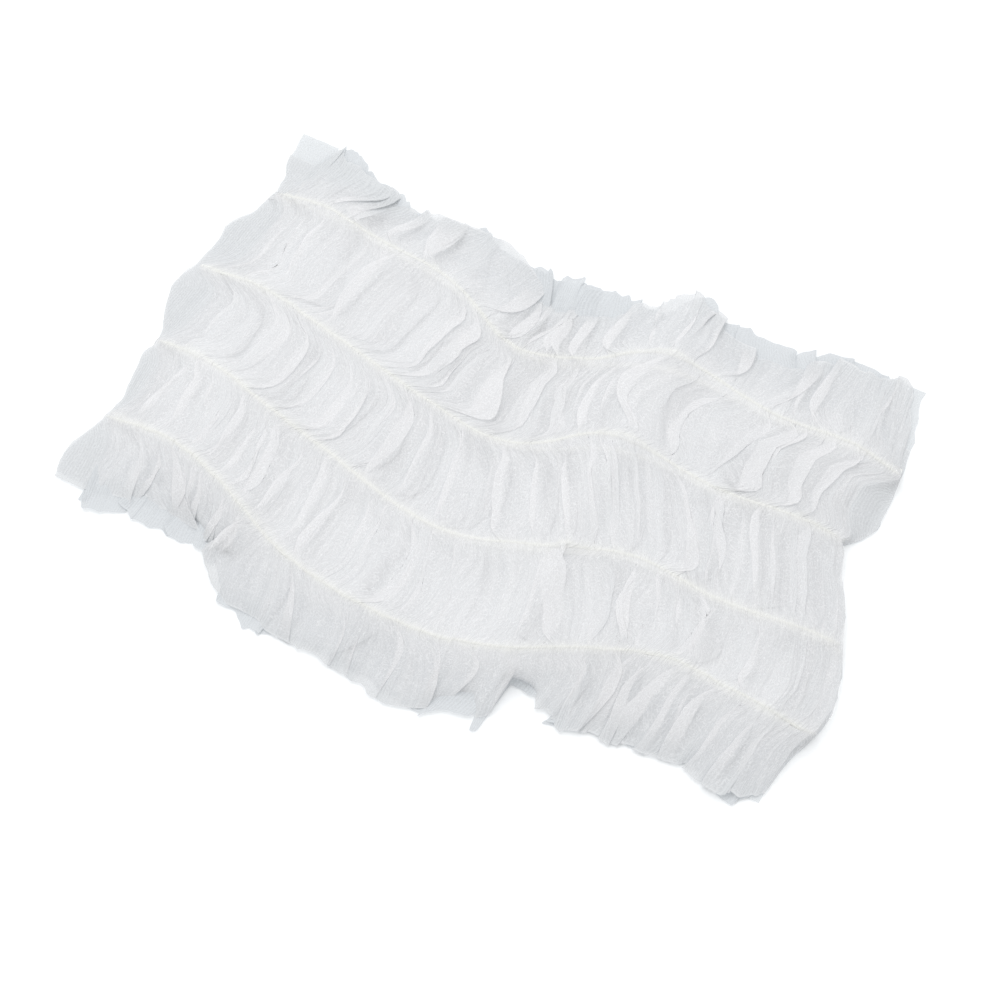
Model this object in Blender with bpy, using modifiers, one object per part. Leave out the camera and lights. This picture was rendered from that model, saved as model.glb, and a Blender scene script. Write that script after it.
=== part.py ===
# Disposable headband of gathered nonwoven, lying flat. Two cloth panels are welded at both ends into a
# closed loop, and four rows of elastic draw each panel together. Metres, +Z up, the long side along X.
import math

import bpy

# Sizes of the flattened loop
PANEL_LENGTH = 0.218  # gathered cloth between the two end seams
ROW_PITCH = 0.031  # from one elastic row to the next
RUFFLE_DEPTH = 0.026  # free cloth past the two outer rows
SEAM_WIDTH = 0.012  # flat welded margin past each end of the gathered cloth
HEAD_GAP = 0.0056  # clear height between the two panels at the elastic rows
BACK_DRIFT = 0.003  # how far the back panel's rows lie towards the top edge of the front panel's

# Sizes of the cloth and of the elastic
CLOTH_WALL = 0.0012
SEAM_WALL = 0.001
ELASTIC_DIAMETER = 0.0012
FRONT_FOLD_DEPTH = 0.0046  # height of the front panel's folds above its elastic rows
BACK_FOLD_DEPTH = 0.0024  # the same below the back panel's rows, pressed by the cloth's weight
RIDGE_HEIGHT = 0.0065  # rise of the largest bunched ridge of the front panel
EDGE_WAVE = 0.0022  # how far the free edges run in and out from fold to fold
END_SLOPE = 0.016  # length over which each panel comes down to an end seam
SEAM_LAP = 0.002  # how far the front panel lies on the seams
FOLD_COUNT = 24  # folds along each panel
PIECE_GAP = 0.0003  # clearance between pieces that touch

# Places that follow from the sizes
COLUMNS_PER_FOLD = 3
COLUMNS = COLUMNS_PER_FOLD * FOLD_COUNT
COLUMNS_PER_FRONT_POINT = 2  # columns from one point of an elastic strand to the next
COLUMNS_PER_BACK_POINT = 3
FOLD_PITCH = PANEL_LENGTH / FOLD_COUNT
HALF_HEIGHT = 1.5 * ROW_PITCH + RUFFLE_DEPTH
BACK_PLANE = BACK_FOLD_DEPTH + CLOTH_WALL / 2 + PIECE_GAP / 2
FRONT_PLANE = BACK_PLANE + CLOTH_WALL + HEAD_GAP
FRONT_END = SEAM_WALL + PIECE_GAP + CLOTH_WALL / 2
BACK_END = CLOTH_WALL / 2 + PIECE_GAP / 2
BACK_END_GAP = PIECE_GAP + CLOTH_WALL / 2
ELASTIC_REACH = CLOTH_WALL / 2 + PIECE_GAP + ELASTIC_DIAMETER / 2

# How the rows and edges run from the left end to the right. along is a share of the panel length from its
# middle, lean is the folds' run along X for each metre across, the rows are shares of the row pitch away from
# their even places, and the edges are shares of the ruffle depth past the outer rows.
RUN_COLUMNS = (
    "along", "lean", "row_1", "row_2", "row_3", "row_4",
    "front_top", "front_bottom", "back_top", "back_bottom",
)
RUN = (
    (-0.50, 0.00, 0.30, 0.20, 0.24, 0.28, 0.92, 0.86, 0.84, 0.98),
    (-0.42, 0.04, 0.19, 0.11, 0.15, 0.26, 1.04, 0.80, 0.80, 1.00),
    (-0.34, 0.09, 0.09, 0.00, 0.00, 0.15, 0.88, 0.78, 0.82, 0.92),
    (-0.26, 0.12, 0.04, -0.12, -0.12, -0.08, 0.88, 0.78, 0.80, 0.84),
    (-0.18, 0.11, -0.14, -0.24, -0.24, -0.32, 1.12, 0.80, 0.92, 0.74),
    (-0.10, 0.06, -0.42, -0.32, -0.40, -0.44, 1.30, 0.72, 1.34, 0.66),
    (-0.02, -0.03, -0.37, -0.42, -0.48, -0.47, 1.18, 0.78, 1.30, 0.64),
    (0.06, -0.10, -0.17, -0.28, -0.32, -0.34, 1.10, 0.70, 1.14, 0.82),
    (0.14, -0.13, 0.10, 0.06, -0.08, -0.04, 1.12, 0.86, 0.90, 0.94),
    (0.22, -0.09, 0.13, 0.13, 0.12, 0.18, 0.94, 0.90, 0.90, 1.02),
    (0.30, 0.00, 0.01, 0.05, 0.04, 0.34, 1.04, 1.14, 1.02, 1.06),
    (0.38, 0.04, 0.08, 0.10, 0.05, 0.26, 1.16, 0.96, 1.04, 0.90),
    (0.46, 0.00, 0.08, 0.19, 0.16, 0.25, 1.14, 0.88, 1.06, 0.82),
    (0.50, 0.00, 0.07, 0.20, 0.24, 0.32, 1.14, 0.96, 1.04, 0.88),
)

# Lines across a panel, from the top edge to the bottom edge. Each lies a share of the way from one curve to
# the next. puff is its height as a share of the fold depth, phase moves its folds by whole columns, and the
# seam columns are shares of the seam width: how far each end is drawn in, and how wide the seam is there.
LINE_COLUMNS = (
    "upper", "lower", "share", "puff", "phase", "left_inset", "right_inset", "left_seam", "right_seam",
)
LINES = (
    ("top", "row_1", 0.00, 0.85, 0, 0.45, 0.95, 0.55, 0.75),
    ("top", "row_1", 0.50, 0.80, 0, 0.60, 0.60, 0.70, 0.65),
    ("row_1", "row_2", 0.00, 0.00, 0, 0.80, 0.15, 0.60, 0.25),
    ("row_1", "row_2", 0.33, 0.95, 1, 0.55, 0.90, 1.00, 1.00),
    ("row_1", "row_2", 0.67, 1.00, 1, 0.45, 0.95, 1.20, 1.00),
    ("row_2", "row_3", 0.00, 0.00, 1, 0.35, 0.80, 0.90, 0.40),
    ("row_2", "row_3", 0.33, 0.95, 2, 0.20, 0.60, 1.00, 0.30),
    ("row_2", "row_3", 0.67, 0.90, 2, 0.05, 0.25, 0.80, 0.30),
    ("row_3", "row_4", 0.00, 0.00, 2, 0.00, 0.00, 0.45, 0.25),
    ("row_3", "row_4", 0.33, 0.95, 0, 0.05, -0.15, 0.55, 0.35),
    ("row_3", "row_4", 0.67, 0.90, 0, 0.05, -0.35, 0.65, 0.35),
    ("row_4", "bottom", 0.00, 0.00, 0, 0.00, -0.50, 0.45, 0.30),
    ("row_4", "bottom", 0.50, 0.75, 1, 0.05, -0.30, 0.85, 0.35),
    ("row_4", "bottom", 1.00, 0.80, 1, 0.10, 0.00, 0.75, 0.30),
)

# Bunched ridges and dents of the front panel. along and reach_along are shares of the panel length, across
# and reach_across of half the height, slant is the run along X for each metre across, and rise is a share of
# the ridge height.
RIDGE_COLUMNS = ("along", "across", "reach_along", "reach_across", "slant", "rise")
RIDGES = (
    (0.125, 0.45, 0.050, 0.75, 0.16, 1.00),
    (-0.405, 1.00, 0.050, 0.30, 0.00, 0.90),
    (-0.310, -0.50, 0.045, 0.50, -0.50, 0.45),
    (-0.190, 0.60, 0.045, 0.50, 0.20, 0.35),
    (0.450, -0.70, 0.060, 0.28, 0.00, 0.55),
    (-0.040, 0.90, 0.090, 0.25, 0.00, -0.50),
)

# Uneven folds: each fold takes the next height and the next shift along X, a share of the fold pitch
FOLD_HEIGHT_SHARES = (1.00, 0.62, 0.88, 0.74, 1.00, 0.52, 0.92)
FOLD_SHIFT_SHARES = (0.10, -0.16, 0.04, 0.18, -0.08)
STRAND_FALL_SHARE = 0.35  # steepest fall of a strand to a seam, as a share of its run
VALLEY_SHARE = 0.25  # height of the cloth between two folds, as a share of theirs

FRONT_CURVES = {"top": "front_top", "bottom": "front_bottom"}
BACK_CURVES = {"top": "back_top", "bottom": "back_bottom"}
ROW_NAMES = ("row_1", "row_2", "row_3", "row_4")
COLLECTION_NAME = "disposable_headband"
CLOTH_COLOUR = (0.86, 0.87, 0.88, 1.0)
SEAM_COLOUR = (0.78, 0.80, 0.82, 1.0)
ELASTIC_COLOUR = (0.90, 0.88, 0.80, 1.0)


# Smooth value of one column of the run table at a place along the panel
def run_value(name, along):
    column = RUN_COLUMNS.index(name)
    knots = [row[0] for row in RUN]
    values = [row[column] for row in RUN]
    along = min(max(along, knots[0]), knots[-1])
    k = max(i for i in range(len(knots) - 1) if knots[i] <= along)
    before, after = max(k - 1, 0), min(k + 2, len(knots) - 1)
    span = knots[k + 1] - knots[k]
    share = (along - knots[k]) / span
    slope_in = (values[k + 1] - values[before]) / (knots[k + 1] - knots[before]) * span
    slope_out = (values[after] - values[k]) / (knots[after] - knots[k]) * span
    rise = values[k + 1] - values[k]
    bend = 3 * rise - 2 * slope_in - slope_out
    twist = slope_in + slope_out - 2 * rise
    return values[k] + share * (slope_in + share * (bend + share * twist))


# Height across the band of one elastic row or free edge
def curve_y(curve, along, names):
    if curve == "top":
        return curve_y("row_1", along, names) + RUFFLE_DEPTH * run_value(names["top"], along)
    if curve == "bottom":
        return curve_y("row_4", along, names) - RUFFLE_DEPTH * run_value(names["bottom"], along)
    even_place = 1.5 - ROW_NAMES.index(curve)
    return ROW_PITCH * (even_place + run_value(curve, along))


# Place of one line in plan, with its two ends at the seams' inner edges moved outwards by reach
def line_place(line, along, names, reach=0.0):
    row = dict(zip(LINE_COLUMNS, line))
    upper = curve_y(row["upper"], along, names)
    lower = curve_y(row["lower"], along, names)
    y = upper + (lower - upper) * row["share"]
    left = -PANEL_LENGTH / 2 + row["left_inset"] * SEAM_WIDTH - reach
    right = PANEL_LENGTH / 2 - row["right_inset"] * SEAM_WIDTH + reach
    fade = 1 - (2 * along) ** 2
    x = left + (right - left) * (along + 0.5) + run_value("lean", along) * fade * y
    return x, y


# 0 at an end seam, 1 where the panel has risen to its own plane
def end_rise(along):
    inside = (0.5 - abs(along)) * PANEL_LENGTH
    share = min(inside / END_SLOPE, 1.0)
    return share * share * (3 - 2 * share)


# Rise of the ridges and dents at a place in plan
def relief(x, y):
    total = 0.0
    for line in RIDGES:
        ridge = dict(zip(RIDGE_COLUMNS, line))
        across = y - ridge["across"] * HALF_HEIGHT
        crest = ridge["along"] * PANEL_LENGTH + ridge["slant"] * across
        far_x = (x - crest) / (ridge["reach_along"] * PANEL_LENGTH)
        far_y = across / (ridge["reach_across"] * HALF_HEIGHT)
        total += ridge["rise"] * RIDGE_HEIGHT * math.exp(-far_x * far_x - far_y * far_y)
    return total


# Height of one column's fold above the row plane, as a share of the fold depth, and its shift along X
def fold_of(column, phase, lane):
    fold, step = divmod(column + phase, COLUMNS_PER_FOLD)
    height = FOLD_HEIGHT_SHARES[(fold + 3 * lane) % len(FOLD_HEIGHT_SHARES)]
    shift = FOLD_SHIFT_SHARES[(fold + 2 * lane) % len(FOLD_SHIFT_SHARES)]
    if step == 0:
        return height, shift
    return VALLEY_SHARE * height, 0.0


# Point of a panel's middle surface. The front panel rises to its folds, the back panel hangs to them.
def panel_point(column, lane, front):
    along = column / COLUMNS - 0.5
    names = FRONT_CURVES if front else BACK_CURVES
    row = dict(zip(LINE_COLUMNS, LINES[lane]))
    x, y = line_place(LINES[lane], along, names, SEAM_LAP if front else -BACK_END_GAP)
    height, shift = fold_of(column, row["phase"], lane)
    rise = end_rise(along)
    x += shift * FOLD_PITCH * row["puff"] * rise
    if LINES[lane] in (LINES[0], LINES[-1]):
        outwards = 1 if lane == 0 else -1
        y += outwards * EDGE_WAVE * (height - 0.5) * rise
    if front:
        lift = max(0.0, FRONT_FOLD_DEPTH * row["puff"] * height + relief(x, y))
        return x, y, FRONT_END + (FRONT_PLANE + lift - FRONT_END) * rise
    drop = BACK_FOLD_DEPTH * row["puff"] * height
    return x, y + BACK_DRIFT * rise, BACK_END + (BACK_PLANE - drop - BACK_END) * rise


# Principled material in one plain finish
def plain_material(name, colour, roughness):
    material = bpy.data.materials.new(name)
    material.use_nodes = True
    shader = material.node_tree.nodes["Principled BSDF"]
    shader.inputs["Base Color"].default_value = colour
    shader.inputs["Roughness"].default_value = roughness
    shader.inputs["Metallic"].default_value = 0.0
    return material


# Puts a new object in the headband's collection, with its name and material
def keep_piece(piece, name, colour, roughness):
    piece.name = name
    piece.data.name = name
    piece.data.materials.append(plain_material(name, colour, roughness))
    for old in list(piece.users_collection):
        old.objects.unlink(piece)
    bpy.data.collections[COLLECTION_NAME].objects.link(piece)
    return piece


# Grid whose points are moved to place_of(column, line), given a wall on both sides of them
def walled_grid(name, columns, place_of, wall, colour):
    lines = len(LINES) - 1
    bpy.ops.mesh.primitive_grid_add(x_subdivisions=columns, y_subdivisions=lines, size=2)
    piece = bpy.context.object
    for vertex in piece.data.vertices:
        column = round((vertex.co.x + 1) / 2 * columns)
        line = round((1 - vertex.co.y) / 2 * lines)
        vertex.co = place_of(column, line)
    solidify = piece.modifiers.new("wall", "SOLIDIFY")
    solidify.thickness = wall
    solidify.offset = 0.0
    piece.data.shade_smooth()
    return keep_piece(piece, name, colour, 0.9)


# One gathered panel
def cloth_panel(name, front):
    def place_of(column, lane):
        return panel_point(column, lane, front)

    return walled_grid(name, COLUMNS, place_of, CLOTH_WALL, CLOTH_COLOUR)


# One flat welded margin: its inner edge meets the panels' ends, its outer edge is scalloped between the rows
def end_seam(name, end, width_column):
    def place_of(column, lane):
        inner_x, inner_y = line_place(LINES[lane], 0.5 * end, FRONT_CURVES)
        width = dict(zip(LINE_COLUMNS, LINES[lane]))[width_column] * SEAM_WIDTH
        outer = column == (0 if end < 0 else 1)
        return inner_x + (end * width if outer else 0.0), inner_y, SEAM_WALL / 2

    return walled_grid(name, 1, place_of, SEAM_WALL, SEAM_COLOUR)


# Columns that an elastic strand passes through: all of them on the front panel's slopes to the seams
def strand_columns(front):
    slope_columns = math.ceil(END_SLOPE / PANEL_LENGTH * COLUMNS)
    inner = range(slope_columns, COLUMNS - slope_columns + 1)
    chosen = set(inner[:: COLUMNS_PER_FRONT_POINT if front else COLUMNS_PER_BACK_POINT]) | {inner[-1]}
    if front:
        chosen |= set(range(slope_columns)) | set(range(inner[-1], COLUMNS + 1))
    return sorted(chosen)


# How far the cloth between two of a strand's points stands out past the straight line from one to the other,
# with the fold slopes that it crosses where the row bends aside from that line
def stand_out(row, side, steepness, first, last):
    most = 0.0
    for column in range(first + 1, last):
        share = (column - first) / (last - first)
        line_y = row[first][1] + (row[last][1] - row[first][1]) * share
        line_z = row[first][2] + (row[last][2] - row[first][2]) * share
        aside = abs(row[column][1] - line_y)
        most = max(most, side * (row[column][2] - line_z) + aside * steepness)
    return most


# One elastic strand, laid along its row on the panel's outer side. The front strands end on the seams.
def elastic_strand(name, row_name, front):
    lane = next(i for i, line in enumerate(LINES) if line[0] == row_name and line[2] == 0.0)
    side = 1 if front else -1
    row = [panel_point(column, lane, front) for column in range(COLUMNS + 1)]
    steepness = (FRONT_FOLD_DEPTH if front else BACK_FOLD_DEPTH) / (ROW_PITCH / 3)
    columns = strand_columns(front)
    points = []
    for k, column in enumerate(columns):
        before, after = columns[max(k - 1, 0)], columns[min(k + 1, len(columns) - 1)]
        spans = ((before, column), (column, after))
        lift = max(stand_out(row, side, steepness, *span) for span in spans)
        x, y, z = row[column]
        slope = max(abs((row[c][2] - z) / (row[c][0] - x)) for c in (before, after) if c != column)
        points.append((x, y, z + side * (ELASTIC_REACH * math.hypot(1, slope) + lift)))
    if front:
        seams = dict(zip(LINE_COLUMNS, LINES[lane]))
        seam_top = SEAM_WALL + PIECE_GAP + ELASTIC_DIAMETER / 2
        left_reach = seams["left_seam"] * SEAM_WIDTH - SEAM_LAP
        right_reach = seams["right_seam"] * SEAM_WIDTH - SEAM_LAP
        left_z = max(seam_top, points[0][2] - STRAND_FALL_SHARE * left_reach)
        right_z = max(seam_top, points[-1][2] - STRAND_FALL_SHARE * right_reach)
        points.insert(0, (points[0][0] - left_reach, points[0][1], left_z))
        points.append((points[-1][0] + right_reach, points[-1][1], right_z))
    curve = bpy.data.curves.new(name, "CURVE")
    curve.dimensions = "3D"
    curve.bevel_depth = ELASTIC_DIAMETER / 2
    curve.bevel_resolution = 1
    curve.use_fill_caps = True
    spline = curve.splines.new("POLY")
    spline.points.add(len(points) - 1)
    for point, place in zip(spline.points, points):
        point.co = (*place, 1.0)
        point.radius = 1.0
    return keep_piece(bpy.data.objects.new(name, curve), name, ELASTIC_COLOUR, 0.7)


# Moves all pieces so that the origin is at the middle of the whole box's underside
def settle_on_origin(pieces):
    bpy.context.view_layer.update()
    graph = bpy.context.evaluated_depsgraph_get()
    corners = []
    for piece in pieces:
        seen = piece.evaluated_get(graph)
        corners += [seen.matrix_world @ vertex.co for vertex in seen.to_mesh().vertices]
        seen.to_mesh_clear()
    low = [min(corner[axis] for corner in corners) for axis in range(3)]
    high = [max(corner[axis] for corner in corners) for axis in range(3)]
    for piece in pieces:
        piece.location.x -= (low[0] + high[0]) / 2
        piece.location.y -= (low[1] + high[1]) / 2
        piece.location.z -= low[2]


def main():
    for old in list(bpy.data.objects):
        bpy.data.objects.remove(old)
    bpy.context.scene.collection.children.link(bpy.data.collections.new(COLLECTION_NAME))
    pieces = [
        cloth_panel("front_panel", True),
        cloth_panel("back_panel", False),
        end_seam("left_seam", -1, "left_seam"),
        end_seam("right_seam", 1, "right_seam"),
    ]
    for number, row_name in enumerate(ROW_NAMES, start=1):
        pieces.append(elastic_strand(f"front_elastic_{number}", row_name, True))
        pieces.append(elastic_strand(f"back_elastic_{number}", row_name, False))
    settle_on_origin(pieces)


main()
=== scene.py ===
import math

import bpy
import numpy as np
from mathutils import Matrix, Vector
from mathutils.bvhtree import BVHTree


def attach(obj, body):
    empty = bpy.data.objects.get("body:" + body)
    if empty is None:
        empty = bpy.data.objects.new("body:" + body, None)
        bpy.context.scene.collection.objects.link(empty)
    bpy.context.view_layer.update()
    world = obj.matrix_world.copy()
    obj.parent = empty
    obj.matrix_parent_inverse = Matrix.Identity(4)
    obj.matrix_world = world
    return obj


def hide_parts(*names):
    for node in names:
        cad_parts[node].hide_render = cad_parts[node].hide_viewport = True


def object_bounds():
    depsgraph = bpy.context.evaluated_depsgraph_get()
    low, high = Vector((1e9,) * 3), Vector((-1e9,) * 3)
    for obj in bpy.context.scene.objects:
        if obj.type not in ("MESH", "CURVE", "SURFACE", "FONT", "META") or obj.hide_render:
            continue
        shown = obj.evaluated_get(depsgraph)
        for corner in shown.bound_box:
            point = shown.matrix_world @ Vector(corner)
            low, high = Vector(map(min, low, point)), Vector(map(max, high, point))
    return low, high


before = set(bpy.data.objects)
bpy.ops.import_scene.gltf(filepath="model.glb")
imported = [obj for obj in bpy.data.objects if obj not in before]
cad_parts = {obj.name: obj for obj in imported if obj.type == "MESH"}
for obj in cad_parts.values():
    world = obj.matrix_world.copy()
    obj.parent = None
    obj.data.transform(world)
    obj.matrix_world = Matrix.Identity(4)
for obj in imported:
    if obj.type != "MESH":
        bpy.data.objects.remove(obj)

# Disposable headband of sheer gathered nonwoven. Metres, the long side along X.
for startup in ("Cube", "Light", "Camera"):
    if startup in bpy.data.objects:
        bpy.data.objects.remove(bpy.data.objects[startup])
cadLow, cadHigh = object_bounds()
mm = 0.001


# Small numpy helpers

def above(values, low, soft=0.22 * mm):
    # pushes values up over low, and keeps their order
    return low + soft * np.logaddexp(0, (values - low) / soft)


def smoothStep(low, high, value):
    share = np.clip((value - low) / (high - low), 0, 1)
    return share * share * (3 - 2 * share)


def bell(distance, reach):
    # 1 at no distance, near 0 past twice the reach
    return np.exp(-(distance / reach) ** 2)


def fadeEnds(share, width):
    # 0 at both ends of a share from 0 to 1, and 1 from width inwards
    return smoothStep(0, width, share) * smoothStep(0, width, 1 - share)


def enlarge(coarse, size):
    # values of a coarse row, smoothly read at size places
    place = np.linspace(0, len(coarse) - 1, size)
    start = np.minimum(place.astype(int), len(coarse) - 2)
    share = smoothStep(0, 1, place - start).reshape((-1,) + (1,) * (coarse.ndim - 1))
    return coarse[start] * (1 - share) + coarse[start + 1] * share


def softNoise(rng, shape, cells):
    # -1 to 1, smooth, with about cells waves each way
    coarse = rng.uniform(-1, 1, (cells[0] + 2, cells[1] + 2))
    return enlarge(enlarge(coarse, shape[0]).T, shape[1]).T


def lowPass(values, sigma):
    # Gaussian mean along the rows, with straight ends
    reach = int(3 * sigma) + 1
    weights = np.exp(-0.5 * (np.arange(-reach, reach + 1) / sigma) ** 2)
    weights /= weights.sum()
    left = 2 * values[:, :1] - values[:, 1:reach + 1][:, ::-1]
    right = 2 * values[:, -1:] - values[:, -reach - 1:-1][:, ::-1]
    padded = np.concatenate([left, values, right], axis=1)
    return np.stack([np.convolve(row, weights, "valid") for row in padded])


def easeOnce(line):
    # each value inside a line becomes the mean of itself and its neighbours
    line[1:-1] = (line[:-2] + 2 * line[1:-1] + line[2:]) / 4


# How far a wave of cloth with this steepest angle draws together, and how high it stands for its length
waveAngles = np.linspace(0, 2.2, 111)
turn = np.linspace(0, 2 * math.pi, 360, endpoint=False)
waveDraw = np.cos(waveAngles[:, None] * np.sin(turn)).mean(1)
waveHeight = np.sin(waveAngles[:, None] * np.sin(turn[:180])).sum(1) / 360


def angleFor(draw):
    return np.interp(-draw, -waveDraw, waveAngles)


# What the frame says of the rows, the free edges and the ends

def nodePoints(name):
    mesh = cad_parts[name].data
    points = np.empty(len(mesh.vertices) * 3)
    mesh.vertices.foreach_get("co", points)
    return points.reshape(-1, 3)


def slotPoints(name, slots):
    # the points of a node in even slots along X, and its ends
    points = nodePoints(name)
    low, high = points[:, 0].min(), points[:, 0].max()
    slot = np.minimum(((points[:, 0] - low) / (high - low) * slots).astype(int), slots - 1)
    return [points[slot == i] for i in range(slots)], low, high


def strandLine(name, slots=40):
    # middle line of an elastic strand, from left to right
    groups, low, high = slotPoints(name, slots)
    line = np.array([group.mean(0) for group in groups if len(group)])
    line[0, 0], line[-1, 0] = low, high
    for _ in range(2):
        easeOnce(line[:, 1:])
    return line


def edgeLine(name, top, slots=44):
    # free edge of a panel
    groups, low, high = slotPoints(name, slots)
    line = []
    for i, group in enumerate(groups):
        best = group[group[:, 1].argmax() if top else group[:, 1].argmin()]
        line.append((low + (i + 0.5) / slots * (high - low), best[1], best[2]))
    line = np.array(line)
    easeOnce(line[:, 1:])
    return line


def nodeTree(name):
    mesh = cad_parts[name].data
    return BVHTree.FromPolygons([v.co for v in mesh.vertices], [p.vertices for p in mesh.polygons])


def heightField(name, cellSize=2.5 * mm, border=4 * mm, blur=1.6):
    # upper surface of a panel on an even grid, filled outwards past its edges
    tree = nodeTree(name)
    xs = np.arange(cadLow.x - border, cadHigh.x + border, cellSize)
    ys = np.arange(cadLow.y - border, cadHigh.y + border, cellSize)
    field = np.full((len(ys), len(xs)), np.nan)
    for i, y in enumerate(ys):
        for j, x in enumerate(xs):
            hit = tree.ray_cast(Vector((x, y, 1.0)), Vector((0, 0, -1)))[0]
            if hit is not None:
                field[i, j] = hit.z
    while np.isnan(field).any():
        padded = np.pad(field, 1, constant_values=np.nan)
        around = np.stack([padded[1 + a:padded.shape[0] - 1 + a, 1 + b:padded.shape[1] - 1 + b]
                           for a in (-1, 0, 1) for b in (-1, 0, 1)])
        known = ~np.isnan(around)
        total = np.where(known, around, 0).sum(0)
        count = known.sum(0)
        fill = np.isnan(field) & (count > 0)
        field[fill] = total[fill] / count[fill]
    return xs, ys, lowPass(lowPass(field, blur).T, blur).T


def readField(fieldParts, x, y):
    xs, ys, field = fieldParts
    column = np.clip((x - xs[0]) / (xs[1] - xs[0]), 0, len(xs) - 1.001)
    row = np.clip((y - ys[0]) / (ys[1] - ys[0]), 0, len(ys) - 1.001)
    j, i = column.astype(int), row.astype(int)
    u, v = column - j, row - i
    return (field[i, j] * (1 - u) * (1 - v) + field[i, j + 1] * u * (1 - v)
            + field[i + 1, j] * (1 - u) * v + field[i + 1, j + 1] * u * v)


def marginReach(name, side, places=120, level=0.5 * mm):
    # for even places across the band: the inner and the outer edge of a welded margin
    tree = nodeTree(name)
    points = nodePoints(name)
    found = []
    for y in np.linspace(points[:, 1].min() + mm, points[:, 1].max() - mm, places):
        outer = tree.ray_cast(Vector((side, y, level)), Vector((-side, 0, 0)))[0]
        inner = tree.ray_cast(Vector((0, y, level)), Vector((side, 0, 0)))[0]
        found.append((y, inner.x, outer.x))
    return np.array(found)


frontRows = [strandLine(f"front_elastic_{k}") for k in (1, 2, 3, 4)]
backRows = [strandLine(f"back_elastic_{k}") for k in (1, 2, 3, 4)]
leftReach = marginReach("left_seam", -1)
rightReach = marginReach("right_seam", 1)

# scallops and notch of the cut ends in the photo: (y, how far outwards) in mm
leftScallops = np.array([
    (-66, -6), (-61, 0), (-56, 2), (-46, 0.5), (-36, 0.5), (-28, -3), (-20, -0.5), (-12, 1.2), (-2, -1.8), (8, 0.8),
    (20, 3), (28, 0), (34, -2.5), (40, 0.5), (48, -2), (56, 2), (64, -0.5), (72, 1)])
rightNotch = np.array([
    (-62, -3.5), (-46, -6), (-36, -3), (-28, 0), (-16, 1), (0, 0), (8, -0.5), (20, -2.5), (23.2, -5), (24.2, -3),
    (28, -2), (45, -2.2), (60, -2.8), (70, -3.1)])
leftReach[:, 2] -= np.interp(leftReach[:, 0], leftScallops[:, 0] * mm, leftScallops[:, 1] * mm)
rightReach[:, 2] += np.interp(rightReach[:, 0], rightNotch[:, 0] * mm, rightNotch[:, 1] * mm)
print("read the rows, edges and margins from the frame")


# Cloth. A sheet is a grid of lines across the band. Along each line the cloth runs in waves of three sizes:
# fine gathers at the elastic, wider pleats beside it, and broad folds between the rows, pressed over.
# The regions between the lines are 0 the top ruffle, 1 to 3 the lanes and 4 the bottom ruffle.

frontCloth = {
    "seed": 7, "flatLength": 0.470, "columns": 1260, "marginColumns": 14, "laneLines": 16, "ruffleLines": 12,
    "foldLength": 13 * mm, "foldUneven": 0.60, "pleatLength": 5.0 * mm, "gatherLength": 2.0 * mm,
    "gatherRise": 0.28, "pressed": 0.06, "softCap": 3.0 * mm, "layOver": 1.15, "rowSink": -0.10 * mm,
    "rowBump": 0.40 * mm, "ground": 0.95 * mm, "sag": 0.0, "laneRise": 0.35, "ridgeRise": 2.2 * mm,
    "puff": 0.8 * mm, "crumple": 0.07 * mm, "edgeStep": 1.4 * mm, "edgeRagged": 0.8 * mm,
    # how far the free edges run outwards: (share of the length, top, bottom) in mm
    "edgeOut": np.array([
        (0, 0, 0), (0.07, 0.5, -3), (0.20, 0, -5), (0.33, 0, -5), (0.38, -3, 0), (0.48, -4.5, 1.5),
        (0.54, -4.5, -3), (0.61, -3, -3), (0.66, 2.5, -3), (0.70, 1, -3), (0.74, -3, -3), (0.82, -2, -1.5),
        (0.88, 0, 0)]),
}
backCloth = {
    "seed": 23, "flatLength": 0.430, "columns": 900, "marginColumns": 0, "laneLines": 14, "ruffleLines": 11,
    "foldLength": 26 * mm, "foldUneven": 0.40, "pleatLength": 7.0 * mm, "gatherLength": 3.0 * mm,
    "gatherRise": 0.30, "pressed": 0.10, "softCap": 2.2 * mm, "layOver": 1.0, "rowSink": -1.1 * mm,
    "rowBump": 0.0, "ground": 0.35 * mm, "sag": 1.0, "laneRise": 0.0, "ridgeRise": 0.0,
    "puff": 0.0, "crumple": 0.08 * mm, "edgeStep": 1.0 * mm, "edgeRagged": 1.2 * mm,
    "edgeOut": np.array([
        (0, 8, 0.5), (0.05, 9, 1.2), (0.10, 2.0, 1.2), (0.16, 0.3, 1.2), (0.30, 0, 1.2), (0.36, 0.5, 4),
        (0.44, 0, 4.5), (0.51, 0, 4.5), (0.55, 0.5, 3), (0.58, 2, 0.8), (0.61, 3, 0.5), (0.66, 1.5, -2.5),
        (0.70, 1, -4), (0.76, 1, 0), (0.80, 1, 2.5), (0.92, 0, 3.5), (1, 0, 3)]),
}

# dips, tips and notches of the free edges in the photo: (x, top, bottom) in mm, the last two outwards
edgeShape = np.array([
    (-107, 7, 0), (-98, 1.5, 2), (-94, -2.5, 0), (-90, -3, -3.5), (-86, -3.5, -1.5), (-81, -2.5, -1),
    (-75, -0.8, -2), (-69, -5, -4), (-64, -2, -2), (-58, -1, -6.5), (-51, 0, 2.5), (-46, 2, 3.5), (-42, 4, 2),
    (-33, -1.5, -1.5), (-26, -3.5, -2.5), (-13, -5, -2), (-6, -3, -2.5), (2, -5, -0.5), (10, -7, 0.5),
    (15, -6, 0), (21, -7, -3), (27, 3, -3.5), (28.5, 3.4, 2), (30.5, 3.4, 2.5), (32, 3, -13), (38, 0.3, -9),
    (42, -1.3, -3), (50, -0.5, 1.5), (56, -1.7, 1.5), (62, -3, -0.5), (66, 0, -0.5), (75, 0.5, -3),
    (90, 1.5, -1.5), (95, 2.5, 1), (100, 7, 1), (107, 3, 0)])

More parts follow.
